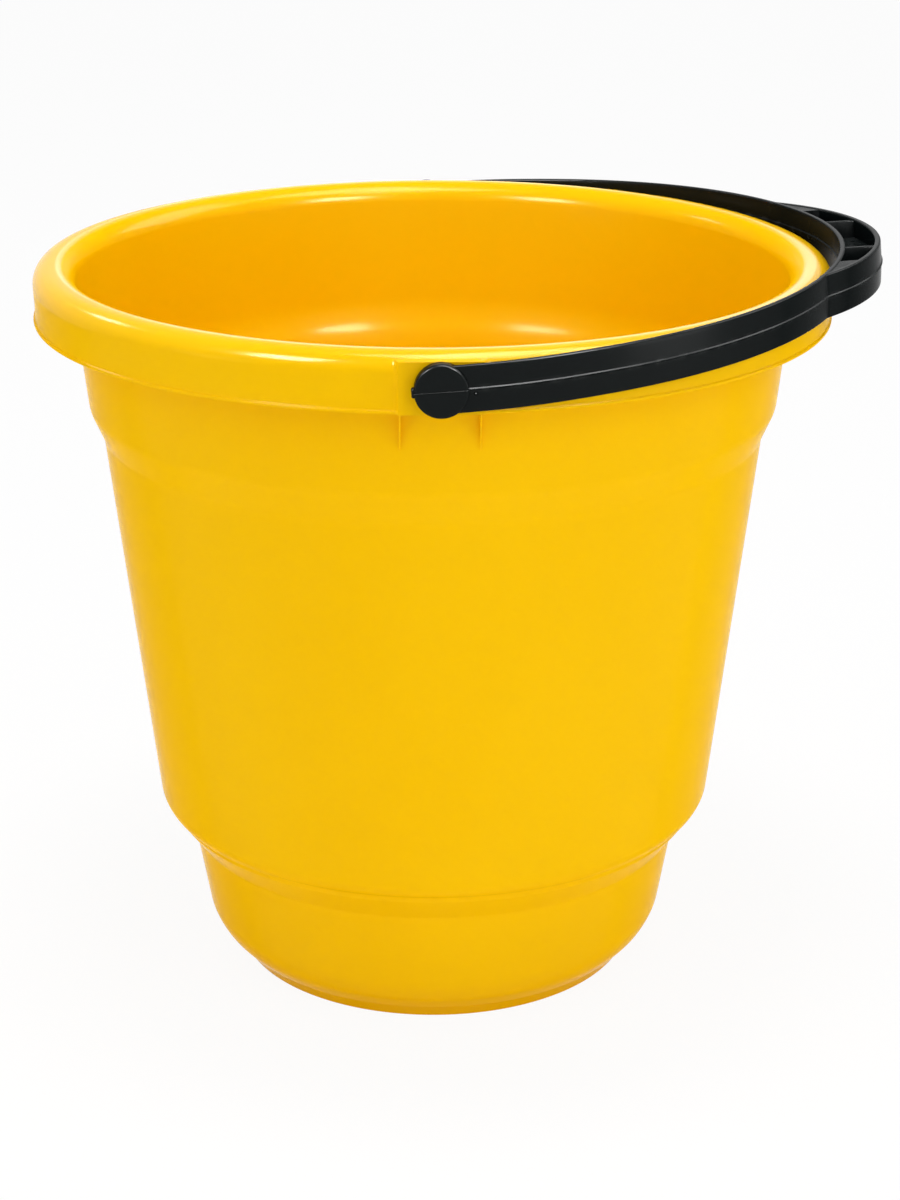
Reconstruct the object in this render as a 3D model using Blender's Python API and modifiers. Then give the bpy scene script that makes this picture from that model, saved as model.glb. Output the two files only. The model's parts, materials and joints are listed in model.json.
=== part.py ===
"""Round plastic bucket with a swinging bail handle.

Two injection mouldings: the bucket (wall, floor, rolled rim, skirt and pivot lugs in one piece)
and the bail (two arms, pocketed grip, end discs and split pivot studs in one piece).
Metres, +Z up. The origin is the centre of the flat underside, the bucket's axis is Z and the
bail turns about a line along Y. At rest the bail lies over towards +X, just above level.
"""
import math

import bmesh
import bpy

# Bucket: overall
RIM_RADIUS = 0.1450
HEIGHT = 0.2716
WALL = 0.0020
FLOOR = 0.0024
FLOOR_CORNER = 0.0030
SEGMENTS = 64

# Bucket: outside of the wall, as radius and height of each corner
BAND_TOP = (0.1300, 0.2519)
BAND_LEAN = 0.106
BAND_FOOT = (0.1265, 0.2192)
WALL_TOP = (0.12175, 0.2082)
SHOULDER = (0.10565, 0.0654)
NECK = (0.0935, 0.0492)
FOOT_KNUCKLE = (0.0875, 0.0140)
FOOT_CREASE = (0.0812, 0.0062)
BASE_EDGE = (0.0755, 0.0)

# Bucket: rolled rim and skirt
ROLL_INNER = 0.0080
ROLL_OUTER = 0.0066
WAIST_RADIUS = 0.14435
WAIST_RISE = 0.0062
WAIST_ROUND = 0.0040
SKIRT_BOTTOM = 0.2519
SKIRT_INNER = 0.1426
SKIRT_EDGE_ROUND = 0.0004
LIP_HEIGHT = 0.0014
LIP_SLOPE = 0.0004
LIP_ROUND = 0.0003

# Pivot lugs on the skirt
PIVOT_HEIGHT = 0.2609
PAD_HALF_WIDTH = 0.0137
PAD_FACE = 0.1451
PAD_BACK = 0.1418
PAD_TOP = 0.2696
PAD_DROP = 0.0002
BORE_RADIUS = 0.00395
BORE_REACH = (0.1390, 0.1500)
BORE_STEPS = 28
RIB_THICKNESS = 0.0012
RIB_INSET = 0.0003
RIB_FOOT = 0.2340
RIB_SHOULDER = 0.2640
RIB_TOP = 0.2690
RIB_TOP_RUN = (0.1330, 0.1400)

# Bail handle
REST_ANGLE = math.radians(3.7)
ARM_INNER = 0.1459
ARM_OUTER = 0.1492
PIVOT_STANDOFF = 0.0008
STANDOFF_FROM = math.radians(68.0)
STANDOFF_RUN = math.radians(14.0)
STRIP_HALF_HEIGHT = 0.00766
STRIP_TAIL = 0.0040
GRIP_END_ANGLE = math.radians(25.0)
GRIP_REACH = 0.1636
GRIP_WALL = 0.0031
GRIP_SWELL = 0.0010
KINK_ROUND = 0.0080
WEB_HALF = 0.0010
CROSS_RIB_AT = 0.0220
CROSS_RIB_HALF = 0.0010
POCKET_TIP = 0.0430
POCKET_OVERRUN = 0.0010
DISC_RADIUS = 0.0091
DISC_STEPS = 40
DISC_FACE = 0.1513
DISC_BACK = 0.1460
STUD_RADIUS = 0.0036
BARB_RADIUS = 0.0049
BARB_BACK = 0.1414
BARB_LAND = 0.0012
STUD_TIP = 0.1368
STUD_TIP_RADIUS = 0.0030
STUD_ROOT = 0.0010
STUD_STEPS = 24
SPLIT_WIDTH = 0.0014
SPLIT_ROOT = 0.1440
SPLIT_HALF_HEIGHT = 0.0070


def clear_scene():
    for obj in list(bpy.data.objects):
        bpy.data.objects.remove(obj, do_unlink=True)


def make_collection(name):
    coll = bpy.data.collections.new(name)
    bpy.context.scene.collection.children.link(coll)
    return coll


def make_material(name, colour, roughness):
    mat = bpy.data.materials.new(name)
    mat.use_nodes = True
    shader = mat.node_tree.nodes["Principled BSDF"]
    shader.inputs["Base Color"].default_value = (*colour, 1.0)
    shader.inputs["Roughness"].default_value = roughness
    shader.inputs["Metallic"].default_value = 0.0
    mat.diffuse_color = (*colour, 1.0)
    return mat


def add_object(name, data, coll, parent=None):
    obj = bpy.data.objects.new(name, data)
    coll.objects.link(obj)
    obj.parent = parent
    return obj


def as_tool(obj):
    obj.hide_render = True
    obj.display_type = "WIRE"
    return obj


def add_boolean(obj, tool, operation):
    mod = obj.modifiers.new(f"{operation.lower()} {tool.name}", "BOOLEAN")
    mod.object = tool
    mod.operation = operation
    mod.solver = "EXACT"


def rounded(corners):
    """Path through corners of (x, y, radius, arc steps), each corner replaced by its arc."""
    path = []
    for i, (cx, cy, radius, steps) in enumerate(corners):
        if radius == 0.0 or i == 0 or i == len(corners) - 1:
            path.append((cx, cy))
            continue
        ax, ay = corners[i - 1][0] - cx, corners[i - 1][1] - cy
        bx, by = corners[i + 1][0] - cx, corners[i + 1][1] - cy
        la, lb = math.hypot(ax, ay), math.hypot(bx, by)
        ax, ay, bx, by = ax / la, ay / la, bx / lb, by / lb
        half = 0.5 * math.acos(max(-1.0, min(1.0, ax * bx + ay * by)))
        reach = min(radius / math.tan(half), 0.49 * la, 0.49 * lb)
        radius = reach * math.tan(half)
        mx, my = ax + bx, ay + by
        lm = math.hypot(mx, my)
        ox = cx + mx / lm * radius / math.sin(half)
        oy = cy + my / lm * radius / math.sin(half)
        start = math.atan2(cy + ay * reach - oy, cx + ax * reach - ox)
        end = math.atan2(cy + by * reach - oy, cx + bx * reach - ox)
        turn = (end - start + math.pi) % (2.0 * math.pi) - math.pi
        for k in range(steps + 1):
            angle = start + turn * k / steps
            path.append((ox + radius * math.cos(angle), oy + radius * math.sin(angle)))
    return path


def inset(corners, distance):
    """The same run of corners moved inwards by the wall's thickness, square to each side."""
    lines = []
    for (x0, y0), (x1, y1) in zip(corners, corners[1:]):
        length = math.hypot(x1 - x0, y1 - y0)
        nx, ny = (y1 - y0) / length, -(x1 - x0) / length
        lines.append((x0 + nx * distance, y0 + ny * distance, x1 - x0, y1 - y0))
    moved = [lines[0][:2]]
    for (px, py, ux, uy), (qx, qy, vx, vy) in zip(lines, lines[1:]):
        t = ((qx - px) * vy - (qy - py) * vx) / (ux * vy - uy * vx)
        moved.append((px + ux * t, py + uy * t))
    px, py, ux, uy = lines[-1]
    moved.append((px + ux, py + uy))
    return moved


def turned(name, path, steps, coll):
    """A profile in the XZ plane swept round Z."""
    mesh = bpy.data.meshes.new(name)
    bm = bmesh.new()
    verts = [bm.verts.new((r, 0.0, z)) for r, z in path]
    for a, b in zip(verts, verts[1:]):
        bm.edges.new((a, b))
    bm.to_mesh(mesh)
    bm.free()
    obj = add_object(name, mesh, coll)
    screw = obj.modifiers.new("turn", "SCREW")
    screw.axis = "Z"
    screw.angle = 2.0 * math.pi
    screw.steps = steps
    screw.render_steps = steps
    screw.use_merge_vertices = True
    screw.merge_threshold = 0.00002
    screw.use_smooth_shade = True
    return obj


def plate(name, outline, half_thickness, coll):
    """A flat closed outline in XY given thickness along Z."""
    curve = bpy.data.curves.new(name, "CURVE")
    curve.dimensions = "2D"
    curve.fill_mode = "BOTH"
    curve.extrude = half_thickness
    spline = curve.splines.new("POLY")
    spline.points.add(len(outline) - 1)
    for point, (x, y) in zip(spline.points, outline):
        point.co = (x, y, 0.0, 1.0)
    spline.use_cyclic_u = True
    source = add_object(name + "_outline", curve, coll)
    bpy.context.view_layer.update()
    graph = bpy.context.evaluated_depsgraph_get()
    mesh = bpy.data.meshes.new_from_object(source.evaluated_get(graph))
    bm = bmesh.new()
    bm.from_mesh(mesh)
    bmesh.ops.remove_doubles(bm, verts=bm.verts, dist=0.000001)
    bmesh.ops.recalc_face_normals(bm, faces=bm.faces)
    bm.to_mesh(mesh)
    bm.free()
    mesh.name = name
    bpy.data.objects.remove(source, do_unlink=True)
    return add_object(name, mesh, coll)


def box(name, low, high, coll):
    mesh = bpy.data.meshes.new(name)
    bm = bmesh.new()
    bmesh.ops.create_cube(bm, size=1.0)
    for v in bm.verts:
        v.co = [lo + (c + 0.5) * (hi - lo) for c, lo, hi in zip(v.co, low, high)]
    bm.to_mesh(mesh)
    bm.free()
    return add_object(name, mesh, coll)


def cylinder_y(name, radius, y_near, y_far, steps, coll):
    """A round bar along Y between two distances from the bucket's axis."""
    mesh = bpy.data.meshes.new(name)
    bm = bmesh.new()
    bmesh.ops.create_cone(bm, cap_ends=True, segments=steps, radius1=radius, radius2=radius,
                          depth=abs(y_far - y_near))
    for v in bm.verts:
        x, y, z = v.co
        v.co = (x, 0.5 * (y_near + y_far) - z, y)
    bm.to_mesh(mesh)
    bm.free()
    return add_object(name, mesh, coll)


clear_scene()
parts = make_collection("bucket")
tools = make_collection("cutters and joined shapes")
yellow = make_material("yellow polypropylene", (0.95, 0.53, 0.002), 0.28)
black = make_material("black polypropylene", (0.012, 0.013, 0.014), 0.35)

# Bucket wall: the outside runs from under the rim to the middle of the base, and the inside is
# the same run moved in by the wall's thickness.
outer = [(BAND_TOP[0] + BAND_LEAN * (HEIGHT - BAND_TOP[1]), HEIGHT), BAND_FOOT, WALL_TOP, SHOULDER,
         NECK, FOOT_KNUCKLE, FOOT_CREASE, BASE_EDGE]
inner = inset(outer, WALL)
outer_round = [0.0, 0.0100, 0.0080, 0.0030, 0.0050, 0.0200, 0.0, 0.0]
inner_round = [0.0, 0.0080, 0.0100, 0.0012, 0.0070, 0.0180, 0.0, 0.0]
outer_steps = [0, 3, 3, 3, 3, 3, 0, 0]
inner_steps = [0, 2, 2, 2, 2, 3, 0, 0]

# One closed run round the section: floor, up the inside, over the rolled rim, down the skirt and
# round its lip, up inside the skirt, then down the outside of the wall to the base.
inside_run = [(x, z, r, n) for (x, z), r, n in zip(inner, inner_round, inner_steps)]
outside_run = [(x, z, r, n) for (x, z), r, n in zip(outer, outer_round, outer_steps)]
inner_foot = inner[6]
inner_base = inner_foot[0] - FLOOR_CORNER
under_rim = HEIGHT - WALL
wall_lean = BAND_LEAN * (under_rim - BAND_TOP[1])
section = [(0.0, FLOOR, 0.0, 0), (inner_base, FLOOR, 0.0, 0), (*inner_foot, 0.0, 0)]
section += inside_run[5:0:-1]
section += [
    (inner[0][0], HEIGHT, ROLL_INNER, 5),
    (RIM_RADIUS, HEIGHT, ROLL_OUTER, 5),
    (WAIST_RADIUS, SKIRT_BOTTOM + WAIST_RISE, WAIST_ROUND, 2),
    (WAIST_RADIUS, SKIRT_BOTTOM + LIP_HEIGHT, LIP_ROUND, 1),
    (RIM_RADIUS, SKIRT_BOTTOM + LIP_HEIGHT - LIP_SLOPE, LIP_ROUND, 1),
    (RIM_RADIUS, SKIRT_BOTTOM, SKIRT_EDGE_ROUND, 1),
    (SKIRT_INNER, SKIRT_BOTTOM, SKIRT_EDGE_ROUND, 1),
    (RIM_RADIUS - WALL, under_rim, ROLL_OUTER - WALL, 3),
    (BAND_TOP[0] + wall_lean, under_rim, ROLL_INNER - WALL, 3),
]
section += outside_run[1:]
section += [(0.0, 0.0, 0.0, 0)]
bucket = turned("bucket_body", rounded(section), SEGMENTS, parts)
bucket.data.materials.append(yellow)

# Pivot lugs: a flat pad on the skirt at each end of the pivot line, tied back to the wall by two
# thin ribs, and bored for the stud. A rib's edges run in the middle of the skirt, roll and wall.


def wall_middle(height):
    return BAND_TOP[0] + BAND_LEAN * (height - BAND_TOP[1]) - 0.5 * WALL


skirt_middle = RIM_RADIUS - 0.5 * WALL
rib_corners = [(skirt_middle, SKIRT_BOTTOM + RIB_INSET), (skirt_middle - 2.0 * RIB_INSET, RIB_SHOULDER),
               (RIB_TOP_RUN[1], RIB_TOP), (RIB_TOP_RUN[0], RIB_TOP),
               (wall_middle(RIB_SHOULDER), RIB_SHOULDER), (wall_middle(RIB_FOOT), RIB_FOOT)]
for side, tag in ((-1.0, "near"), (1.0, "far")):
    ys = sorted((side * PAD_FACE, side * PAD_BACK))
    pad = box(f"pad_{tag}", (-PAD_HALF_WIDTH, ys[0], SKIRT_BOTTOM - PAD_DROP),
              (PAD_HALF_WIDTH, ys[1], PAD_TOP), tools)
    add_boolean(bucket, as_tool(pad), "UNION")
    rib_outline = [(side * across, up) for across, up in rib_corners]
    for hand in (-1.0, 1.0):
        rib = plate(f"rib_{tag}_{'left' if hand < 0 else 'right'}", rib_outline,
                    0.5 * RIB_THICKNESS, tools)
        centre = hand * (PAD_HALF_WIDTH - 0.5 * RIB_THICKNESS - RIB_INSET)
        for v in rib.data.vertices:
            across, up, along = v.co
            v.co = (centre + along, across, up)
        add_boolean(bucket, as_tool(rib), "UNION")
for side, tag in ((-1.0, "near"), (1.0, "far")):
    bore = cylinder_y(f"bore_{tag}", BORE_RADIUS, side * BORE_REACH[0], side * BORE_REACH[1],
                      BORE_STEPS, tools)
    bore.location.z = PIVOT_HEIGHT
    add_boolean(bucket, as_tool(bore), "DIFFERENCE")

# Bail: everything hangs on an empty that sits on the pivot line and carries the rest angle, so
# the bail is drawn flat in its own XY plane.
pivot = add_object("bail_pivot", None, parts)
pivot.location = (0.0, 0.0, PIVOT_HEIGHT)
pivot.rotation_euler = (0.0, -REST_ANGLE, 0.0)

kink_x = ARM_OUTER * math.cos(GRIP_END_ANGLE)
kink_y = ARM_OUTER * math.sin(GRIP_END_ANGLE)
arc_centre = (GRIP_REACH ** 2 - kink_x ** 2 - kink_y ** 2) / (2.0 * (GRIP_REACH - kink_x))
arc_radius = GRIP_REACH - arc_centre

# A small hollow round eases each bend where an arm meets the grip: its centre lies outside both
# circles, KINK_ROUND from each.
kink_far = ARM_OUTER + KINK_ROUND
kink_turn = math.acos((kink_far ** 2 + arc_centre ** 2 - (arc_radius + KINK_ROUND) ** 2)
                      / (2.0 * kink_far * arc_centre))
kink_centre = (kink_far * math.cos(kink_turn), kink_far * math.sin(kink_turn))
arc_half = math.atan2(kink_centre[1], kink_centre[0] - arc_centre)
kink_sweep = arc_half - kink_turn


def swell(angle):
    """How far the strip stands out of its plain circle, inside the grip and beside the pivots."""
    share = min(1.0, abs(angle) / GRIP_END_ANGLE)
    by_pivot = min(1.0, max(0.0, (abs(angle) - STANDOFF_FROM) / STANDOFF_RUN))
    in_grip = GRIP_SWELL * 0.5 * (1.0 + math.cos(math.pi * share))
    return in_grip + PIVOT_STANDOFF * 0.5 * (1.0 - math.cos(math.pi * by_pivot))


def strip_point(radius, angle):
    r = radius + swell(angle)
    return (r * math.cos(angle), r * math.sin(angle))


arm_steps = 24
kink_steps = 4
grip_steps = 20
inside_steps = 64
arm_turn = math.pi / 2 - kink_turn


def arm_side(k):
    """A point on the outside of the far arm, from the bend at step 0 to the pivot line."""
    return strip_point(ARM_OUTER, kink_turn + arm_turn * k / arm_steps)


def kink_point(k):
    """A point on the hollow round at the far arm's bend, from the grip at step 0 to the arm."""
    angle = math.pi + arc_half - kink_sweep * k / kink_steps
    return (kink_centre[0] + KINK_ROUND * math.cos(angle), kink_centre[1] + KINK_ROUND * math.sin(angle))


far_half = [kink_point(k) for k in range(kink_steps)] + [arm_side(k) for k in range(arm_steps + 1)]
far_half += [(-STRIP_TAIL, ARM_OUTER + PIVOT_STANDOFF), (-STRIP_TAIL, ARM_INNER + PIVOT_STANDOFF)]
outline = [(x, -y) for x, y in reversed(far_half)]
for k in range(1, grip_steps):
    turn = -arc_half + 2.0 * arc_half * k / grip_steps
    outline.append((arc_centre + arc_radius * math.cos(turn), arc_radius * math.sin(turn)))
outline += far_half
for k in range(inside_steps + 1):
    outline.append(strip_point(ARM_INNER, math.pi / 2 - math.pi * k / inside_steps))
bail = plate("bail_handle", outline, STRIP_HALF_HEIGHT, parts)
bail.parent = pivot
bail.data.materials.append(black)

# Discs and split studs at the two ends of the bail.
for side, tag in ((-1.0, "near"), (1.0, "far")):
    disc = cylinder_y(f"disc_{tag}", DISC_RADIUS, side * DISC_BACK, side * DISC_FACE, DISC_STEPS,
                      tools)
    disc.parent = pivot
    add_boolean(bail, as_tool(disc), "UNION")
    stud_path = [(0.0, STUD_TIP), (STUD_TIP_RADIUS, STUD_TIP), (BARB_RADIUS, BARB_BACK - BARB_LAND),
                 (BARB_RADIUS, BARB_BACK), (STUD_RADIUS, BARB_BACK), (STUD_RADIUS, DISC_BACK + STUD_ROOT),
                 (0.0, DISC_BACK + STUD_ROOT)]
    stud = turned(f"stud_{tag}", [(r, -z) for r, z in stud_path], STUD_STEPS, tools)
    stud.rotation_euler = (-math.pi / 2, 0.0, 0.0) if side > 0 else (math.pi / 2, 0.0, 0.0)
    stud.parent = pivot
    add_boolean(bail, as_tool(stud), "UNION")
    ys = sorted((side * (STUD_TIP - STUD_ROOT), side * SPLIT_ROOT))
    split = box(f"split_{tag}", (-0.5 * SPLIT_WIDTH, ys[0], -SPLIT_HALF_HEIGHT),
                (0.5 * SPLIT_WIDTH, ys[1], SPLIT_HALF_HEIGHT), tools)
    split.parent = pivot
    add_boolean(bail, as_tool(split), "DIFFERENCE")

# Pockets in the grip, from above and below, leaving a web at mid-height and two cross ribs.
rib_near_side = CROSS_RIB_AT - CROSS_RIB_HALF
rib_far_side = CROSS_RIB_AT + CROSS_RIB_HALF
pocket_runs = ((-POCKET_TIP, -rib_far_side), (-rib_near_side, rib_near_side), (rib_far_side, POCKET_TIP))
pocket_depth = 0.5 * (STRIP_HALF_HEIGHT + POCKET_OVERRUN - WEB_HALF)
pocket_steps = 8
for number, (y_low, y_high) in enumerate(pocket_runs):
    levels = [y_low + (y_high - y_low) * k / pocket_steps for k in range(pocket_steps + 1)]
    near_side, far_side = [], []
    for y in levels:
        angle = math.asin(y / ARM_OUTER)
        wall_radius = ARM_INNER + GRIP_WALL + swell(angle)
        near_side.append((math.sqrt(wall_radius ** 2 - y ** 2), y))
        far_side.append((arc_centre + math.sqrt((arc_radius - GRIP_WALL) ** 2 - y ** 2), y))
    for up, tag in ((1.0, "top"), (-1.0, "bottom")):
        pocket = plate(f"pocket_{number}_{tag}", near_side + far_side[::-1], pocket_depth, tools)
        pocket.location.z = up * (WEB_HALF + pocket_depth)
        pocket.parent = pivot
        add_boolean(bail, as_tool(pocket), "DIFFERENCE")

bpy.context.view_layer.update()
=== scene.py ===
"""Round yellow bucket with a black swinging bail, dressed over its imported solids, in metres."""
import json
import math

import bmesh
import bpy
from mathutils import Matrix, Vector


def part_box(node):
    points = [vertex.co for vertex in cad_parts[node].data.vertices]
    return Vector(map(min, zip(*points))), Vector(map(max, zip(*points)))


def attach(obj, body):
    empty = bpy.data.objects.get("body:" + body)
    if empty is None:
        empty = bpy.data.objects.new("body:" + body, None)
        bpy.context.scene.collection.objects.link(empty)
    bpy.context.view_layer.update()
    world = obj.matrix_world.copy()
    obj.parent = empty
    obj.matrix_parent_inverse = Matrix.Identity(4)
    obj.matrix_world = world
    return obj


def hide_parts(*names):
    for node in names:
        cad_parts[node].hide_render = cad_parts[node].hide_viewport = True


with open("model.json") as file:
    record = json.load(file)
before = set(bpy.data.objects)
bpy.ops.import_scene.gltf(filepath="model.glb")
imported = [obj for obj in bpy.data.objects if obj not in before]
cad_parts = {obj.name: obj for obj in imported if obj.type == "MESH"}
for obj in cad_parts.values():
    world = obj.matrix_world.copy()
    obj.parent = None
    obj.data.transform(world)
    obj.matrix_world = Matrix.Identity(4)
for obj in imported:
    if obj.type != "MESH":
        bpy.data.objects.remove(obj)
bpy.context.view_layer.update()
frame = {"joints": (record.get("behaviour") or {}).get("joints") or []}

# Bucket: one thin-walled moulding of glossy yellow polypropylene. The wall steps in twice on its
# way down to a narrow foot, and at the top it rolls over into a rim whose skirt hangs clear of it.
hair = 0.00001
rim_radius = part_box("bucket_body")[1].x - hair
bucket_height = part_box("bucket_body")[1].z
wall, floor_thickness = 0.0020, 0.0024
floor_corner, floor_corner_round = 0.0065, 0.0040

# Outside of the wall, from under the rim to the base: radius, height and rounding of each corner.
# The last two lie behind the foot's ring and shape only the inside.
band_top_radius, band_lean = 0.1300, 0.106
skirt_bottom = 0.2519
outside = [
    (band_top_radius + band_lean * (bucket_height - skirt_bottom), bucket_height, 0.0),
    (0.1265, 0.2192, 0.0100),
    (0.12175, 0.2082, 0.0080),
    (0.10565, 0.0654, 0.0080),
    (0.0935, 0.0492, 0.0025),
    (0.0875, 0.0140, 0.0200),
    (0.0812, 0.0062, 0.0),
    (0.0755, 0.0000, 0.0),
]
# A shallow groove runs round the ledge under the wall. Its place and half width are shares of the
# ledge, its depth and rounding are lengths.
groove_at, groove_half, groove_depth, groove_round = 0.28, 0.10, 0.0010, 0.0025
ledge_top = Vector(outside[3][:2])
ledge = Vector(outside[4][:2]) - ledge_top
ledge_inwards = Vector((ledge.y, -ledge.x)).normalized()
groove = [(*(ledge_top + (groove_at + step * groove_half) * ledge + depth * ledge_inwards), groove_round)
          for step, depth in ((-1.0, 0.0), (0.0, groove_depth), (1.0, 0.0))]
# The foot stands on a low ring, set in under a crisp edge: radius, height and rounding.
foot_ring = [(0.0800, 0.0058, 0.0004), (0.0787, 0.0054, 0.0003), (0.0757, 0.0000, 0.0006)]
inside_rounds = [0.0, 0.0360, 0.0360, 0.0012, 0.0070, 0.0180, 0.0020, 0.0]

roll_inner_round, roll_outer_round = 0.0080, 0.0066
waist_radius, waist_rise, waist_round = 0.14435, 0.0062, 0.0040
skirt_inner, skirt_edge_round = 0.1426, 0.0004
lip_height, lip_slope, lip_round = 0.0014, 0.0004, 0.0003


def moved_in(corners, distance):
    """The same run of corners moved inwards by the wall's thickness, square to each side."""
    sides = []
    for (r0, z0, _), (r1, z1, _) in zip(corners, corners[1:]):
        along = Vector((r1 - r0, z1 - z0))
        square = Vector((along.y, -along.x)).normalized() * distance
        sides.append((Vector((r0, z0)) + square, along))
    run = [sides[0][0]]
    for (p, u), (q, v) in zip(sides, sides[1:]):
        run.append(p + u * ((q - p).cross(v) / u.cross(v)))
    run.append(sides[-1][0] + sides[-1][1])
    return run


def wire(bm, points):
    """Join points of (across, up) into one open wire in the XZ plane."""
    verts = [bm.verts.new((across, 0.0, up)) for across, up in points]
    for first, second in zip(verts, verts[1:]):
        bm.edges.new((first, second))
    return verts


def soften(bm, corner, radius, segments):
    """Round one corner of a wire or of a flat outline to a radius."""
    first, second = [edge.other_vert(corner).co - corner.co for edge in corner.link_edges]
    reach = radius * math.tan(0.5 * (math.pi - first.angle(second)))
    bmesh.ops.bevel(bm, geom=[corner], offset=reach, offset_type="OFFSET", affect="VERTICES",
                    segments=segments, profile=0.5, material=-1)


inside = moved_in(outside, wall)
under_rim = bucket_height - wall
# The whole section, from the middle of the floor up the inside, over the rim and down the outside:
# radius, height, rounding and steps of each corner.
section = [(0.0, floor_thickness, 0.0, 0),
           (inside[6].x - floor_corner, floor_thickness, floor_corner_round, 6)]
section += [(inside[k].x, inside[k].y, inside_rounds[k], 8) for k in (6, 5, 4, 3, 2, 1)]
section += [
    (inside[0].x, bucket_height, roll_inner_round, 18),
    (rim_radius, bucket_height, roll_outer_round, 18),
    (waist_radius, skirt_bottom + waist_rise, waist_round, 6),
    (waist_radius, skirt_bottom + lip_height, lip_round, 4),
    (rim_radius, skirt_bottom + lip_height - lip_slope, lip_round, 4),
    (rim_radius, skirt_bottom, skirt_edge_round, 4),
    (skirt_inner, skirt_bottom, skirt_edge_round, 4),
    (rim_radius - wall, under_rim, roll_outer_round - wall, 8),
    (band_top_radius + band_lean * (under_rim - skirt_bottom), under_rim, roll_inner_round - wall, 8),
]
section += [(r, z, rounding, 8) for r, z, rounding in outside[1:4] + groove + outside[4:-2] + foot_ring]
section += [(0.0, 0.0, 0.0, 0)]

# The lug pads: where the bail hangs, the skirt is pressed out flat over a short width on each side.
pivot = Vector(frame["joints"][0]["pos_m"])
pad_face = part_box("bucket_body")[1].y
pad_half_width, pad_top = 0.0137, 0.2696
pad_edge_round = 0.00035
pad_half_angle = math.asin(pad_half_width / pad_face)
blend_angle, blend_fall = math.radians(1.0), 4

weld_gap, on_plane = 0.000004, 0.000001
shell = bmesh.new()
corners = wire(shell, [(r, z) for r, z, _, _ in section])
for corner, (_, _, rounding, segments) in zip(corners, section):
    if rounding:
        soften(shell, corner, rounding, segments)
start_angle = -0.5 * math.pi - pad_half_angle - blend_angle
bmesh.ops.rotate(shell, verts=shell.verts, cent=(0.0, 0.0, 0.0), matrix=Matrix.Rotation(start_angle, 3, "Z"))
side_angle = math.pi - 2.0 * (pad_half_angle + blend_angle)
half_turn = [(blend_angle, 8), (2.0 * pad_half_angle, 24), (blend_angle, 8), (side_angle, 104)]
edge_run = shell.verts[:] + shell.edges[:]
for angle, steps in half_turn * 2:
    turned = bmesh.ops.spin(shell, geom=edge_run, cent=(0.0, 0.0, 0.0), axis=(0.0, 0.0, 1.0), angle=angle,
                            steps=steps, use_merge=False, use_duplicate=False)
    edge_run = turned["geom_last"]
bmesh.ops.remove_doubles(shell, verts=shell.verts, dist=weld_gap)
bmesh.ops.recalc_face_normals(shell, faces=shell.faces)


def off_pivot(vert):
    """Angle between a point and the pivot line, seen from above."""
    return math.atan2(abs(vert.co.x), abs(vert.co.y))


skirt_skin = 0.0006


def on_skirt(vert):
    """True for a point on the outer face of the skirt, below the top of the pads."""
    return math.hypot(vert.co.x, vert.co.y) > skirt_inner + skirt_skin and vert.co.z < pad_top + hair


angle_slack, pad_slack = 0.0001, 0.001
lug_reach = pad_half_angle + blend_angle + angle_slack
stud_hole_radius, stud_hole_room, stud_hole_sides = 0.00395, 0.0056, 40


def at_lug(face):
    """True for the faces of the skirt and roll where a lug is."""
    middle = face.calc_center_median()
    return (all(off_pivot(v) < lug_reach for v in face.verts) and middle.z > skirt_bottom
            and math.hypot(*middle.xy) > skirt_inner)


for cut in (pad_top, pivot.z + stud_hole_room, pivot.z - stud_hole_room):
    lug_faces = [face for face in shell.faces if at_lug(face)]
    lug_edges = [edge for face in lug_faces for edge in face.edges]
    lug_verts = [vert for face in lug_faces for vert in face.verts]
    bmesh.ops.bisect_plane(shell, geom=list(dict.fromkeys(lug_faces + lug_edges + lug_verts)), dist=on_plane,
                           plane_co=(0.0, 0.0, cut), plane_no=(0.0, 0.0, 1.0))
flat = set()
for vert in shell.verts:
    if not on_skirt(vert) or off_pivot(vert) > lug_reach:
        continue
    past_pad = max(0.0, off_pivot(vert) - pad_half_angle) / blend_angle
    weight = 1.0 if past_pad < pad_slack else max(0.0, 1.0 - past_pad) ** blend_fall
    vert.co.y += weight * (math.copysign(pad_face, vert.co.y) - vert.co.y)
    if weight == 1.0:
        flat.add(vert)


def on_pad_border(edge):
    """True for the edges round a pad's flat face."""
    if not all(v in flat for v in edge.verts):
        return False
    return sum(f.calc_area() > 0.0 and all(v in flat for v in f.verts) for f in edge.link_faces) == 1


pad_border = [edge for edge in shell.edges if on_pad_border(edge)]
bmesh.ops.bevel(shell, geom=pad_border, offset=pad_edge_round, offset_type="OFFSET", affect="EDGES",
                segments=3, profile=0.5, material=-1, clamp_overlap=True)

# The stud's hole goes through pad and skirt: a square window is opened in both faces and closed
# again round a circle, and the two circles are joined by the bore.
skirt_inside, window_slack = rim_radius - wall, 0.0005


def in_window(face, side):
    """True for the faces of pad and skirt where the hole goes through."""
    middle = face.calc_center_median()
    return (side * middle.y > skirt_inner - window_slack and abs(middle.x) < stud_hole_room
            and abs(middle.z - pivot.z) < stud_hole_room)


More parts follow.
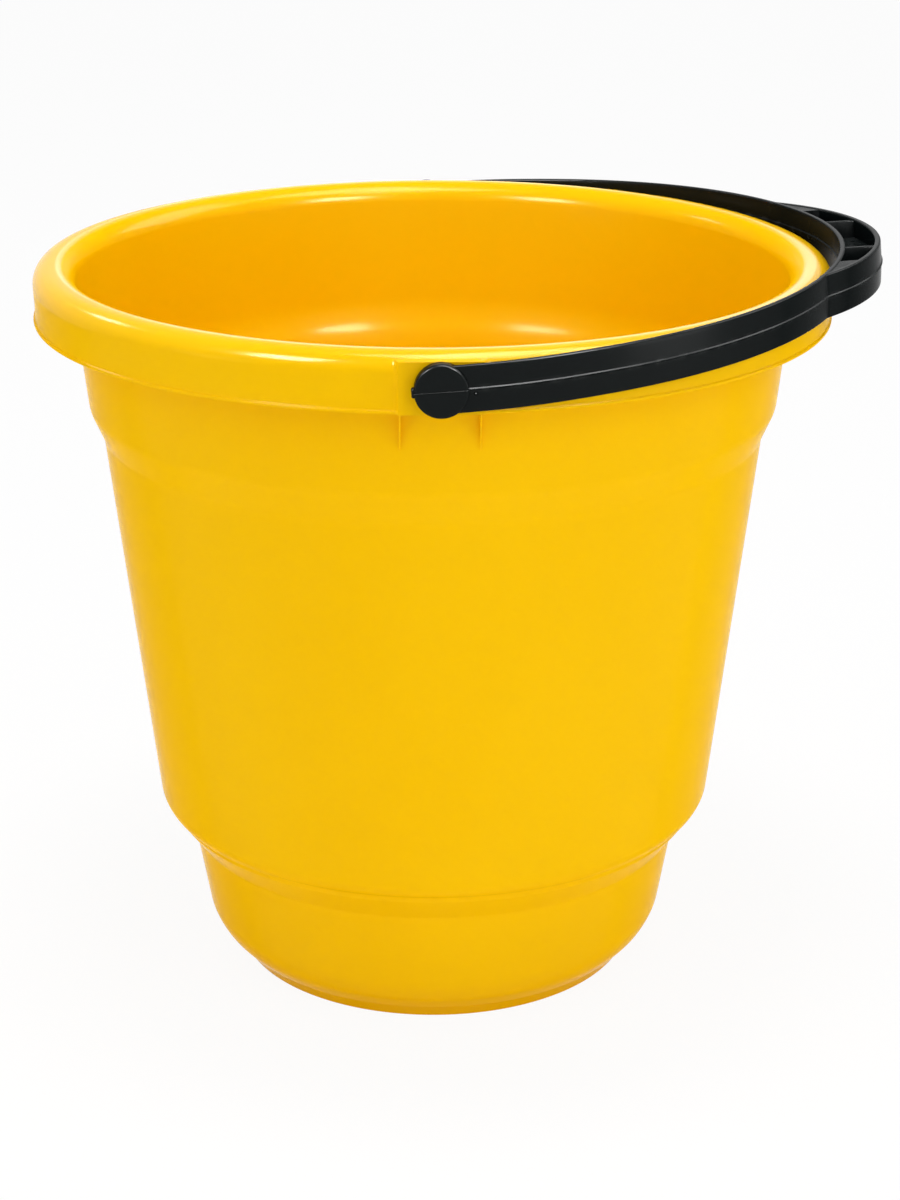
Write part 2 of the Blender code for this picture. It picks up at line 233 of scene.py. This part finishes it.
for side in (-1.0, 1.0):
    window = [face for face in shell.faces if in_window(face, side)]
    bmesh.ops.delete(shell, geom=window, context="FACES")
    bore = []
    for face_y in (pad_face, skirt_inside):
        frame_edges = [edge for edge in shell.edges if edge.is_boundary and edge.is_valid
                       and abs(side * edge.verts[0].co.y - face_y) < skirt_skin]
        ring = bmesh.ops.create_circle(shell, cap_ends=False, radius=stud_hole_radius,
                                       segments=stud_hole_sides)["verts"]
        bmesh.ops.rotate(shell, verts=ring, cent=(0.0, 0.0, 0.0),
                         matrix=Matrix.Rotation(0.5 * math.pi, 3, "X"))
        bmesh.ops.translate(shell, verts=ring, vec=(0.0, side * face_y, pivot.z))
        ring_edges = list({edge for vert in ring for edge in vert.link_edges})
        bmesh.ops.bridge_loops(shell, edges=frame_edges + ring_edges)
        bore += ring_edges
    bmesh.ops.bridge_loops(shell, edges=bore)
bmesh.ops.recalc_face_normals(shell, faces=shell.faces)

# Ribs behind each pad: two thin webs per lug, moulded between the skirt and the wall.
rib_thickness, rib_inset, rib_cut_back = 0.0006, 0.0003, 0.0085
rib_foot, rib_shoulder, rib_top = 0.2340, 0.2640, 0.2690
rib_top_run = (0.1330, 0.1400)


def wall_middle(height):
    """Radius of the middle of the wall under the rim, at a height."""
    return band_top_radius + band_lean * (height - skirt_bottom) - 0.5 * wall


skirt_middle = rim_radius - 0.5 * wall
rib_outline = [
    (skirt_middle - rib_cut_back, skirt_bottom),
    (skirt_middle, skirt_bottom + rib_cut_back),
    (skirt_middle - 2.0 * rib_inset, rib_shoulder),
    (rib_top_run[1], rib_top),
    (rib_top_run[0], rib_top),
    (wall_middle(rib_shoulder), rib_shoulder),
    (wall_middle(rib_foot), rib_foot),
]
for side in (-1.0, 1.0):
    for hand in (-1.0, 1.0):
        rib_x = hand * (pad_half_width - 0.5 * rib_thickness - rib_inset)
        rib_verts = [shell.verts.new((rib_x - 0.5 * rib_thickness, side * y, z)) for y, z in rib_outline]
        grown = bmesh.ops.extrude_face_region(shell, geom=[shell.faces.new(rib_verts)])
        moved = [g for g in grown["geom"] if isinstance(g, bmesh.types.BMVert)]
        bmesh.ops.translate(shell, verts=moved, vec=(rib_thickness, 0.0, 0.0))
        rib_faces = list({f for v in rib_verts + moved for f in v.link_faces})
        bmesh.ops.recalc_face_normals(shell, faces=rib_faces)


blunt_bend, sharp_bend = 0.2, 0.5


def finished(bm, name, crease):
    """A finished moulding: every edge carries how sharp it is, and faces are smooth up to a crease."""
    sharpness = bm.verts.layers.float.new("edge")
    for vert in bm.verts:
        bend = max((edge.calc_face_angle(0.0) for edge in vert.link_edges), default=0.0)
        vert[sharpness] = min(1.0, max(0.0, bend - blunt_bend) / (sharp_bend - blunt_bend))
    mesh = bpy.data.meshes.new(name)
    bm.to_mesh(mesh)
    bm.free()
    mesh.shade_smooth()
    mesh.set_sharp_from_angle(angle=crease)
    piece = bpy.data.objects.new(name, mesh)
    bpy.context.scene.collection.objects.link(piece)
    return piece


bucket_crease = math.radians(38.0)
bucket = finished(shell, "bucket_moulding", bucket_crease)


# Yellow finish: colour moulded right through, so it varies only in faint flow clouds, a soft ripple
# left by the tool, fine hairline scuffs and paler rubbed edges.
def add_node(tree, kind, sockets=None, **settings):
    """A new node with its settings, and each socket given a value or linked."""
    node = tree.nodes.new(kind)
    for name, value in settings.items():
        setattr(node, name, value)
    for name, value in (sockets or {}).items():
        if isinstance(value, bpy.types.NodeSocket):
            tree.links.new(value, node.inputs[name])
        else:
            node.inputs[name].default_value = value
    return node


def new_group(name, inputs, outputs):
    """A shader node group with named sockets, and its two end nodes."""
    group = bpy.data.node_groups.new(name, "ShaderNodeTree")
    for label, kind in inputs:
        group.interface.new_socket(name=label, in_out="INPUT", socket_type=kind)
    for label, kind in outputs:
        group.interface.new_socket(name=label, in_out="OUTPUT", socket_type=kind)
    return group, group.nodes.new("NodeGroupInput"), group.nodes.new("NodeGroupOutput")


def ramp(tree, value, low, high, to_low=0.0, to_high=1.0):
    """A value stretched from one range to another, held at both ends."""
    node = add_node(tree, "ShaderNodeMapRange", {"Value": value, "From Min": low, "From Max": high,
                                                 "To Min": to_low, "To Max": to_high})
    return node.outputs["Result"]


def sums(tree, operation, first, second):
    """Two values added, multiplied or otherwise worked into one."""
    return add_node(tree, "ShaderNodeMath", {0: first, 1: second}, operation=operation).outputs["Value"]


def noise(tree, place, scale, detail=2.0, stretch=(1.0, 1.0, 1.0)):
    """Soft random spots over the surface, which can be drawn out along the axes."""
    if stretch != (1.0, 1.0, 1.0):
        place = add_node(tree, "ShaderNodeMapping", {"Vector": place, "Scale": stretch}).outputs["Vector"]
    texture = add_node(tree, "ShaderNodeTexNoise", {"Vector": place, "Scale": scale, "Detail": detail})
    return texture.outputs["Fac"]


cloud_detail, cloud_stretch, cloud_span = 3.0, (1.0, 1.0, 0.4), (0.3, 0.7)
patch_scale, patch_span = 22.0, (0.50, 0.68)
hairline_stretch, hairline_span = (60.0, 900.0, 1100.0), (0.62, 0.72)
grain_scale, grain_height, scuff_depth = 1500.0, 0.06, 0.05
moulded_skin, skin_in, skin_out = new_group(
    "moulded skin",
    [("Place", "NodeSocketVector"), ("Cloud scale", "NodeSocketFloat"), ("Ripple scale", "NodeSocketFloat")],
    [("Cloud", "NodeSocketFloat"), ("Scuff", "NodeSocketFloat"), ("Height", "NodeSocketFloat")])
place = skin_in.outputs["Place"]
flow = noise(moulded_skin, place, skin_in.outputs["Cloud scale"], cloud_detail, cloud_stretch)
cloud = ramp(moulded_skin, flow, *cloud_span)
patches = ramp(moulded_skin, noise(moulded_skin, place, patch_scale), *patch_span)
hairlines = ramp(moulded_skin, noise(moulded_skin, place, 1.0, 2.0, hairline_stretch), *hairline_span)
scuff = sums(moulded_skin, "MULTIPLY", patches, hairlines)
ripple = noise(moulded_skin, place, skin_in.outputs["Ripple scale"], 1.0)
grain = noise(moulded_skin, place, grain_scale, 2.0)
height = sums(moulded_skin, "ADD", ripple, sums(moulded_skin, "MULTIPLY", grain, grain_height))
height = sums(moulded_skin, "SUBTRACT", height, sums(moulded_skin, "MULTIPLY", scuff, scuff_depth))
for label, value in (("Cloud", cloud), ("Scuff", scuff), ("Height", height)):
    moulded_skin.links.new(value, skin_out.inputs[label])

wear_scale, wear_detail, wear_span = 190.0, 4.0, (0.42, 0.66)
rubbed_edge, edge_in, edge_out = new_group(
    "rubbed edge", [("Place", "NodeSocketVector"), ("Edge", "NodeSocketFloat")],
    [("Wear", "NodeSocketFloat")])
speckle = noise(rubbed_edge, edge_in.outputs["Place"], wear_scale, wear_detail)
broken = ramp(rubbed_edge, speckle, *wear_span)
wear = sums(rubbed_edge, "MULTIPLY", broken, edge_in.outputs["Edge"])
rubbed_edge.links.new(wear, edge_out.inputs["Wear"])

wear_roughness, bump_strength = 0.10, 0.5


def plastic(name, deep, bright, worn_and_sheen_tone, cloud_scale, ripple_scale, gloss, scuff_share, wear_and_sheen_share,
            ripple_depth):
    """A moulded plastic: two close tones, lighter worn edges, on the bail partly a painted highlight, and
    gloss as the least and greatest roughness.
    """
    material = bpy.data.materials.new(name)
    material.use_nodes = True
    tree = material.node_tree
    shader = tree.nodes["Principled BSDF"]
    place = add_node(tree, "ShaderNodeTexCoord").outputs["Object"]
    edge = add_node(tree, "ShaderNodeAttribute", attribute_name="edge").outputs["Fac"]
    skin = add_node(tree, "ShaderNodeGroup", node_tree=moulded_skin)
    skin.inputs["Cloud scale"].default_value = cloud_scale
    skin.inputs["Ripple scale"].default_value = ripple_scale
    tree.links.new(place, skin.inputs["Place"])
    rubbed = add_node(tree, "ShaderNodeGroup", node_tree=rubbed_edge)
    tree.links.new(place, rubbed.inputs["Place"])
    tree.links.new(edge, rubbed.inputs["Edge"])
    tone = add_node(tree, "ShaderNodeMix", {0: skin.outputs["Cloud"], 6: (*deep, 1.0), 7: (*bright, 1.0)},
                    data_type="RGBA").outputs[2]
    worn_and_sheen_mix = sums(tree, "MULTIPLY", rubbed.outputs["Wear"], wear_and_sheen_share)
    colour = add_node(tree, "ShaderNodeMix", {0: worn_and_sheen_mix, 6: tone, 7: (*worn_and_sheen_tone, 1.0)},
                      data_type="RGBA").outputs[2]
    roughness = ramp(tree, skin.outputs["Cloud"], 0.0, 1.0, *gloss)
    roughness = sums(tree, "ADD", roughness, sums(tree, "MULTIPLY", skin.outputs["Scuff"], scuff_share))
    roughness = sums(tree, "ADD", roughness, sums(tree, "MULTIPLY", rubbed.outputs["Wear"], wear_roughness))
    bump = add_node(tree, "ShaderNodeBump", {"Strength": bump_strength, "Distance": ripple_depth,
                                             "Height": skin.outputs["Height"]})
    tree.links.new(colour, shader.inputs["Base Color"])
    tree.links.new(roughness, shader.inputs["Roughness"])
    tree.links.new(bump.outputs["Normal"], shader.inputs["Normal"])
    return material, shader


shine_tint = (1.0, 0.93, 0.60, 1.0)
yellow, yellow_shader = plastic(
    "yellow polypropylene", deep=(0.925, 0.515, 0.000), bright=(0.945, 0.545, 0.001), worn_and_sheen_tone=(0.96, 0.62, 0.03),
    cloud_scale=9.0, ripple_scale=55.0, gloss=(0.14, 0.19), scuff_share=0.12, wear_and_sheen_share=0.12,
    ripple_depth=0.00010)
yellow_shader.inputs["Specular Tint"].default_value = shine_tint

# The top of the rim is polished; the wall is more satin, so it shines less at a slant. The ring that
# stands on the ground is painted a deeper orange: painted shade for the shadow under its crisp edge.
ring_shade_tone, ring_shade_share = (0.80, 0.39, 0.00), 0.2
rim_polish, polish, satin = 0.10, 0.06, 0.003
polish_from, polish_full = skirt_bottom + 0.0125, skirt_bottom + 0.0165
crest_radius = inside[0].x + roll_inner_round
crest_from, crest_full = crest_radius - 0.0040, crest_radius - 0.0025
wall_slant = (0.20, 0.55)
yellow_tree = yellow.node_tree
yellow_place = add_node(yellow_tree, "ShaderNodeTexCoord").outputs["Object"]
up = add_node(yellow_tree, "ShaderNodeSeparateXYZ", {"Vector": yellow_place}).outputs["Z"]
# Painted shade: below the crisp edge of the foot's ring the colour is mixed toward a deeper orange.
ring_shade_mix = ramp(yellow_tree, up, foot_ring[1][1], foot_ring[0][1], ring_shade_share, 0.0)
unshaded_tone = yellow_shader.inputs["Base Color"].links[0].from_socket
yellow_colour = add_node(yellow_tree, "ShaderNodeMix", {0: ring_shade_mix, 6: unshaded_tone, 7: (*ring_shade_tone, 1.0)},
                         data_type="RGBA").outputs[2]
yellow_tree.links.new(yellow_colour, yellow_shader.inputs["Base Color"])
slant = add_node(yellow_tree, "ShaderNodeLayerWeight").outputs["Facing"]
across = add_node(yellow_tree, "ShaderNodeVectorMath", {0: yellow_place, 1: (1.0, 1.0, 0.0)},
                  operation="MULTIPLY").outputs["Vector"]
from_axis = add_node(yellow_tree, "ShaderNodeVectorMath", {0: across}, operation="LENGTH").outputs["Value"]
rim_top = sums(yellow_tree, "MULTIPLY", ramp(yellow_tree, up, polish_from, polish_full),
               ramp(yellow_tree, from_axis, crest_from, crest_full))
rim_shine = ramp(yellow_tree, rim_top, 0.0, 1.0, satin, rim_polish)
wall_shine = ramp(yellow_tree, slant, *wall_slant, polish, satin)
yellow_tree.links.new(sums(yellow_tree, "MAXIMUM", rim_shine, wall_shine),
                      yellow_shader.inputs["Specular IOR Level"])
bucket.data.materials.append(yellow)
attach(bucket, "bucket")
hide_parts("bucket_body")

# Bail: one moulding of satin black polypropylene. A flat strip runs round from pivot to pivot, with a
# thin parting line along the middle of its outer face and a low bead along the inner one. A second
# wall bows out to make the grip.
strip_inner, strip_outer = 0.1459, 0.1492
half_height = 0.00766
draft = 0.00030
parting_proud, parting_half, parting_foot = 0.00036, 0.00012, 0.00042
bead_proud, bead_half, bead_foot = 0.00045, 0.00055, 0.00090
strip_round, flank_rows = 0.00050, 5
grip_end_angle = math.radians(25.0)
grip_reach, grip_wall, grip_swell = 0.1636, 0.0031, 0.0010
kink_round = 0.0080
pivot_standoff = 0.0008
standoff_from, standoff_run = math.radians(68.0), math.radians(14.0)
tail_angle = math.radians(1.5)
sunk = 0.00001

kink = strip_outer * Vector((math.cos(grip_end_angle), math.sin(grip_end_angle)))
arc_centre = (grip_reach ** 2 - kink.length_squared) / (2.0 * (grip_reach - kink.x))
arc_radius = grip_reach - arc_centre
kink_far = strip_outer + kink_round
kink_turn = math.acos((kink_far ** 2 + arc_centre ** 2 - (arc_radius + kink_round) ** 2)
                      / (2.0 * kink_far * arc_centre))
kink_centre = kink_far * Vector((math.cos(kink_turn), math.sin(kink_turn)))
arc_half = math.atan2(kink_centre.y, kink_centre.x - arc_centre)


def standing_out(angle):
    """How far the strip stands out of its plain circle, inside the grip and beside the pivots."""
    share = min(1.0, abs(angle) / grip_end_angle)
    by_pivot = min(1.0, max(0.0, (abs(angle) - standoff_from) / standoff_run))
    in_grip = grip_swell * 0.5 * (1.0 + math.cos(math.pi * share))
    return in_grip + pivot_standoff * 0.5 * (1.0 - math.cos(math.pi * by_pivot))


def bow_out(bm):
    """Move a plain round strip out to where it stands."""
    for vert in bm.verts:
        angle = math.atan2(vert.co.y, vert.co.x)
        vert.co.x += standing_out(angle) * math.cos(angle)
        vert.co.y += standing_out(angle) * math.sin(angle)


def strip_section(bm, inner, outer, half, with_bead):
    """A closed section in the XZ plane: outer face with its parting line, top, inner face, bottom."""
    outer_face, inner_face = outer - parting_proud, inner + (bead_proud if with_bead else 0.0)
    points = [(outer_face - draft, -half), (outer_face, -parting_foot), (outer, -parting_half),
              (outer, parting_half), (outer_face, parting_foot), (outer_face - draft, half),
              (inner_face + draft, half)]
    if with_bead:
        points += [(inner_face, bead_foot), (inner, bead_half), (inner, -bead_half), (inner_face, -bead_foot)]
    points += [(inner_face + draft, -half)]
    verts = [bm.verts.new((r, 0.0, z)) for r, z in points]
    bm.faces.new(verts)
    for corner in [v for v in verts if abs(abs(v.co.z) - half) < on_plane]:
        soften(bm, corner, strip_round, 4)
    flanks = [edge for edge in bm.edges if edge.calc_length() > 0.5 * half]
    bmesh.ops.subdivide_edges(bm, edges=flanks, cuts=flank_rows)
    return bm.verts[:] + bm.edges[:] + bm.faces[:]


def sweep(bm, geom, centre, angle, steps):
    """Turn a shape about an upright line and give back its last place."""
    made = bmesh.ops.spin(bm, geom=geom, cent=(*centre, 0.0), axis=(0.0, 0.0, 1.0), angle=angle, steps=steps,
                          use_merge=False, use_duplicate=False)
    return made["geom_last"]


def turn_all(bm, angle, axis):
    """Turn a whole mesh about one of the axes."""
    bmesh.ops.rotate(bm, verts=bm.verts, cent=(0.0, 0.0, 0.0), matrix=Matrix.Rotation(angle, 3, axis))


def join(whole, part):
    """Add one shape to the bail's mesh."""
    bmesh.ops.recalc_face_normals(part, faces=part.faces)
    mesh = bpy.data.meshes.new("joined")
    part.to_mesh(mesh)
    part.free()
    whole.from_mesh(mesh)
    bpy.data.meshes.remove(mesh)


bail_mesh = bmesh.new()
arm_steps, bend_steps, grip_steps = 132, 6, 48

strip = bmesh.new()
strip_geom = strip_section(strip, strip_inner, strip_outer, half_height, True)
turn_all(strip, -0.5 * math.pi - tail_angle, "Z")
sweep(strip, strip_geom, (0.0, 0.0), math.pi + 2.0 * tail_angle, arm_steps)
bow_out(strip)
join(bail_mesh, strip)

grip = bmesh.new()
grip_geom = strip_section(grip, strip_outer - grip_wall, strip_outer - sunk, half_height - sunk, False)
turn_all(grip, -kink_turn, "Z")
grip_geom = sweep(grip, grip_geom, (kink_centre.x, -kink_centre.y), -(arc_half - kink_turn), bend_steps)
grip_geom = sweep(grip, grip_geom, (arc_centre, 0.0), 2.0 * arc_half, grip_steps)
sweep(grip, grip_geom, kink_centre, -(arc_half - kink_turn), bend_steps)
join(bail_mesh, grip)

# Inside the grip: a flat web at mid-height closes the gap between the two walls, two cross ribs
# split it into three open pockets above and three below, and the narrow ends are solid.
web_half, web_overlap, web_steps = 0.0010, 0.0010, 32
pocket_tip, end_setback, end_drop, end_steps = 0.0430, 0.0016, 0.0002, 12
cross_rib_at, cross_rib_half, cross_rib_root = 0.0220, 0.0010, 0.0018
rib_drop, rib_round = 0.0004, 0.0003


def between_walls(y_low, y_high, half, steps):
    """Fill the grip between the middles of its two walls, from one distance along it to another."""
    slab = bmesh.new()
    for radius, centre in ((strip_inner + 0.5 * grip_wall, 0.0), (arc_radius - 0.5 * grip_wall, arc_centre)):
        first, last = math.asin(y_low / radius), math.asin(y_high / radius)
        start = slab.verts.new((centre + radius * math.cos(first), radius * math.sin(first), -half))
        sweep(slab, [start], (centre, 0.0), last - first, steps)
        if centre == 0.0:
            bow_out(slab)
    bmesh.ops.bridge_loops(slab, edges=slab.edges[:])
    thick = bmesh.ops.extrude_face_region(slab, geom=slab.faces[:])
    bmesh.ops.translate(slab, verts=[g for g in thick["geom"] if isinstance(g, bmesh.types.BMVert)],
                        vec=(0.0, 0.0, 2.0 * half))
    join(bail_mesh, slab)


between_walls(-pocket_tip - web_overlap, pocket_tip + web_overlap, web_half, web_steps)
solid_end = kink.y - end_setback
between_walls(pocket_tip, solid_end, half_height - end_drop, end_steps)
between_walls(-solid_end, -pocket_tip, half_height - end_drop, end_steps)

for hand in (-1.0, 1.0):
    cross = bmesh.new()
    bmesh.ops.create_cube(cross, size=1.0)
    angle = math.asin(cross_rib_at / strip_outer)
    near_x = (strip_inner + cross_rib_root + standing_out(angle)) * math.cos(angle)
    far_x = arc_centre + math.sqrt((arc_radius - 0.5 * grip_wall) ** 2 - cross_rib_at ** 2)
    bmesh.ops.scale(cross, verts=cross.verts, vec=(far_x - near_x, 2.0 * cross_rib_half,
                                                   2.0 * (half_height - rib_drop)))
    bmesh.ops.translate(cross, verts=cross.verts, vec=(0.5 * (near_x + far_x), hand * cross_rib_at, 0.0))
    bmesh.ops.bevel(cross, geom=cross.edges[:], offset=rib_round, offset_type="OFFSET", affect="EDGES",
                    segments=2, profile=0.5, material=-1)
    join(bail_mesh, cross)

# Pivot ends: each arm ends in a round boss whose split, barbed stud snaps through the lug's hole.
# The parting line crosses the boss and leaves a small nib on its outer end, with a gate pip beside it.
boss_radius, boss_face, boss_back, boss_sides = 0.0087, 0.1510, 0.1460, 72
boss_round, boss_back_round, fine_weld = 0.0008, 0.0003, 0.000002
line_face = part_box("bail_handle")[1].y
line_overhang, line_start, line_bevel = 0.0002, 0.0012, 0.00011
nib_proud, nib_half_height, nib_depth = 0.0008, 0.0016, 0.0030
nib_start, nib_sink, nib_round = 0.0014, 0.0010, 0.0006
pip_radius, pip_x, pip_drop, pip_sink = 0.00060, 0.0107, 0.0016, 0.0002
stud_radius, barb_radius, barb_back, barb_land = 0.0036, 0.0049, 0.1414, 0.0012
stud_tip, stud_tip_radius, stud_root = 0.1368, 0.0030, 0.0010
split_width, split_root, root_gap, stud_sides = 0.0014, 0.1440, 0.0001, 40


def box_between(bm, low, high, rounding, segments):
    """A block from one corner to the opposite one, with rounded edges."""
    made = bmesh.ops.create_cube(bm, size=1.0)["verts"]
    size = Vector(high) - Vector(low)
    bmesh.ops.scale(bm, verts=made, vec=size)
    bmesh.ops.translate(bm, verts=made, vec=Vector(low) + 0.5 * size)
    edges = list({edge for vert in made for edge in vert.link_edges})
    bmesh.ops.bevel(bm, geom=edges, offset=rounding, offset_type="OFFSET", affect="EDGES", segments=segments,
                    profile=0.5, material=-1)


for side in (-1.0, 1.0):
    boss = bmesh.new()
    boss_corners = wire(boss, [(0.0, boss_face), (boss_radius, boss_face), (boss_radius, boss_back),
                               (0.0, boss_back)])
    soften(boss, boss_corners[1], boss_round, 5)
    soften(boss, boss_corners[2], boss_back_round, 2)
    sweep(boss, boss.verts[:] + boss.edges[:], (0.0, 0.0), 2.0 * math.pi, boss_sides)
    bmesh.ops.remove_doubles(boss, verts=boss.verts, dist=fine_weld)
    turn_all(boss, -side * 0.5 * math.pi, "X")
    join(bail_mesh, boss)

    trim = bmesh.new()
    box_between(trim, (-boss_radius - line_overhang, boss_back + line_start, -parting_half),
                (boss_radius, line_face, parting_half), line_bevel, 1)
    nib_back = boss_back + nib_start
    box_between(trim, (-boss_radius - nib_proud, nib_back, -nib_half_height),
                (-boss_radius + nib_sink, nib_back + nib_depth, nib_half_height), nib_round, 3)
    pip_y = strip_outer + pivot_standoff - parting_proud - pip_sink
    pip = bmesh.ops.create_uvsphere(trim, u_segments=12, v_segments=8, radius=pip_radius)["verts"]
    bmesh.ops.translate(trim, verts=pip, vec=(pip_x, pip_y, -pip_drop))
    if side < 0.0:
        bmesh.ops.scale(trim, verts=trim.verts, vec=(1.0, -1.0, 1.0))
    join(bail_mesh, trim)

    prong_run = [(0.0, stud_tip), (stud_tip_radius, stud_tip), (barb_radius, barb_back - barb_land),
                 (barb_radius, barb_back), (stud_radius, barb_back), (stud_radius, split_root),
                 (0.0, split_root)]
    root_run = [(0.0, split_root - root_gap), (stud_radius, split_root - root_gap),
                (stud_radius, boss_back + stud_root), (0.0, boss_back + stud_root)]
    for run, kept_side in ((root_run, 0.0), (prong_run, -1.0), (prong_run, 1.0)):
        stud = bmesh.new()
        wire(stud, run)
        sweep(stud, stud.verts[:] + stud.edges[:], (0.0, 0.0), 2.0 * math.pi, stud_sides)
        bmesh.ops.remove_doubles(stud, verts=stud.verts, dist=fine_weld)
        if kept_side:
            bmesh.ops.bisect_plane(stud, geom=stud.verts[:] + stud.edges[:] + stud.faces[:], dist=on_plane,
                                   plane_co=(0.5 * kept_side * split_width, 0.0, 0.0),
                                   plane_no=(-kept_side, 0.0, 0.0), clear_outer=True)
            bmesh.ops.holes_fill(stud, edges=[edge for edge in stud.edges if edge.is_boundary])
        turn_all(stud, -side * 0.5 * math.pi, "X")
        join(bail_mesh, stud)

rest_angle, bail_crease = math.radians(3.7), math.radians(32.0)
bmesh.ops.transform(bail_mesh, verts=bail_mesh.verts,
                    matrix=Matrix.Translation(pivot) @ Matrix.Rotation(-rest_angle, 4, "Y"))
bail = finished(bail_mesh, "bail_moulding", bail_crease)

# The bail's sharp edges are mixed toward a lighter grey: partly edge wear, partly a painted highlight along
# them.
black, black_shader = plastic(
    "black polypropylene", deep=(0.0030, 0.0046, 0.0046), bright=(0.0042, 0.0062, 0.0062),
    worn_and_sheen_tone=(0.05, 0.052, 0.052), cloud_scale=26.0, ripple_scale=120.0, gloss=(0.20, 0.24), scuff_share=0.05,
    wear_and_sheen_share=0.2, ripple_depth=0.00003)
black_polish, black_satin, arm_slant = 0.10, 0.008, (0.20, 0.50)
black_tree = black.node_tree
black_slant = add_node(black_tree, "ShaderNodeLayerWeight").outputs["Facing"]
black_tree.links.new(ramp(black_tree, black_slant, *arm_slant, black_polish, black_satin),
                     black_shader.inputs["Specular IOR Level"])
bail.data.materials.append(black)
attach(bail, "bail")
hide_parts("bail_handle")

# Stage: a wide pale floor under the bucket, which takes its soft shadow. Looked at directly or in a
# reflection it is nearly white.
floor_size, floor_pale, floor_roughness, floor_white = 12.0, 0.93, 0.9, 0.92
ground = bmesh.new()
bmesh.ops.create_grid(ground, x_segments=1, y_segments=1, size=0.5 * floor_size)
ground_mesh = bpy.data.meshes.new("floor")
ground.to_mesh(ground_mesh)
ground.free()
floor = bpy.data.objects.new("floor", ground_mesh)
bpy.context.scene.collection.objects.link(floor)
floor_paint = bpy.data.materials.new("pale floor")
floor_paint.use_nodes = True
floor_tree = floor_paint.node_tree
floor_shader = floor_tree.nodes["Principled BSDF"]
floor_shader.inputs["Base Color"].default_value = (floor_pale, floor_pale, floor_pale, 1.0)
floor_shader.inputs["Roughness"].default_value = floor_roughness
floor_shader.inputs["Specular IOR Level"].default_value = 0.0


def seen_directly(tree):
    """1 where the camera, a reflection or a see-through ray looks, 0 where light is only gathered."""
    paths = add_node(tree, "ShaderNodeLightPath")
    mirrored = sums(tree, "MAXIMUM", paths.outputs["Is Glossy Ray"], paths.outputs["Is Transmission Ray"])
    return sums(tree, "MAXIMUM", paths.outputs["Is Camera Ray"], mirrored)


white = add_node(floor_tree, "ShaderNodeEmission", {"Color": (1.0, 1.0, 1.0, 1.0), "Strength": 1.0})
white_share = sums(floor_tree, "MULTIPLY", seen_directly(floor_tree), floor_white)
blend = add_node(floor_tree, "ShaderNodeMixShader",
                 {0: white_share, 1: floor_shader.outputs["BSDF"], 2: white.outputs["Emission"]})
floor_tree.links.new(blend.outputs["Shader"], floor_tree.nodes["Material Output"].inputs["Surface"])
floor.data.materials.append(floor_paint)

# Light: a white room all round, soft boxes in front and overhead, and two low fills for the foot. The
# shine boxes show only in glossy surfaces, as the glints on the rim, inside the bucket and on the bail.
world = bpy.data.worlds.new("white studio")
bpy.context.scene.world = world
world.use_nodes = True
room = world.node_tree
room_light = room.nodes["Background"]
room_level = 0.62
room.links.new(ramp(room, seen_directly(room), 0.0, 1.0, room_level, 1.0), room_light.inputs["Strength"])
room_light.inputs["Color"].default_value = (1.0, 1.0, 1.0, 1.0)


def soft_box(name, place, aim, width, depth, power, shine_only=False):
    """A flat soft lamp; one for shine only is seen in glossy surfaces and adds no light of its own."""
    lamp = bpy.data.lights.new(name, "AREA")
    lamp.shape = "RECTANGLE"
    lamp.size, lamp.size_y, lamp.energy = width, depth, power
    lit = bpy.data.objects.new(name, lamp)
    lit.location = place
    lit.rotation_euler = (Vector(aim) - Vector(place)).to_track_quat("-Z", "Y").to_euler()
    lit.visible_diffuse = not shine_only
    bpy.context.scene.collection.objects.link(lit)


lit_point, low_point = (0.0, 0.0, 0.2), (0.0, 0.0, 0.05)
soft_box("front right soft box", (1.10, -1.70, 1.25), lit_point, 1.20, 1.20, 7.2)
soft_box("front left soft box", (-1.40, -1.40, 1.15), lit_point, 1.20, 1.20, 3.0)
soft_box("overhead soft box", (0.0, -0.10, 1.50), lit_point, 0.50, 0.30, 9.0)
soft_box("low right fill", (1.50, -0.80, 0.25), low_point, 0.80, 0.40, 3.0)
soft_box("low left fill", (-1.50, -0.80, 0.25), low_point, 0.80, 0.40, 2.0)
soft_box("right shine", (0.74, -1.02, 1.19), lit_point, 0.45, 0.45, 80.0, shine_only=True)
soft_box("left shine", (-0.89, -0.89, 1.19), lit_point, 0.45, 0.45, 80.0, shine_only=True)
soft_box("rear left shine", (-1.06, 0.69, 1.12), lit_point, 0.28, 0.20, 5.0, shine_only=True)
soft_box("rear right shine", (1.10, 0.63, 1.27), lit_point, 0.90, 0.90, 40.0, shine_only=True)
soft_box("back shine", (0.15, 2.20, 0.80), lit_point, 0.90, 0.60, 2.0, shine_only=True)
soft_box("ceiling shine", (0.25, -0.10, 1.50), lit_point, 0.90, 0.60, 45.0, shine_only=True)

# Camera: a little above the rim, looking down on the front, as in the photograph. Its place and its
# focal length were fitted to the outline of the bucket.
photo_height, focal_pixels = 1200.0, 2626.6
camera_distance, camera_height = 0.9425, 0.4805
camera_pitch, camera_azimuth, camera_yaw = math.radians(20.02), math.radians(-1.0), math.radians(0.38)
lens = bpy.data.cameras.new("camera")
lens.sensor_fit = "VERTICAL"
lens.sensor_height = 24.0
lens.lens = lens.sensor_height * focal_pixels / photo_height
camera = bpy.data.objects.new("camera", lens)
camera.location = (camera_distance * math.sin(camera_azimuth), -camera_distance * math.cos(camera_azimuth),
                   camera_height)
camera.rotation_euler = (0.5 * math.pi - camera_pitch, 0.0, camera_azimuth - camera_yaw)
bpy.context.scene.collection.objects.link(camera)
bpy.context.scene.camera = camera
bpy.context.scene.view_settings.view_transform = "Standard"
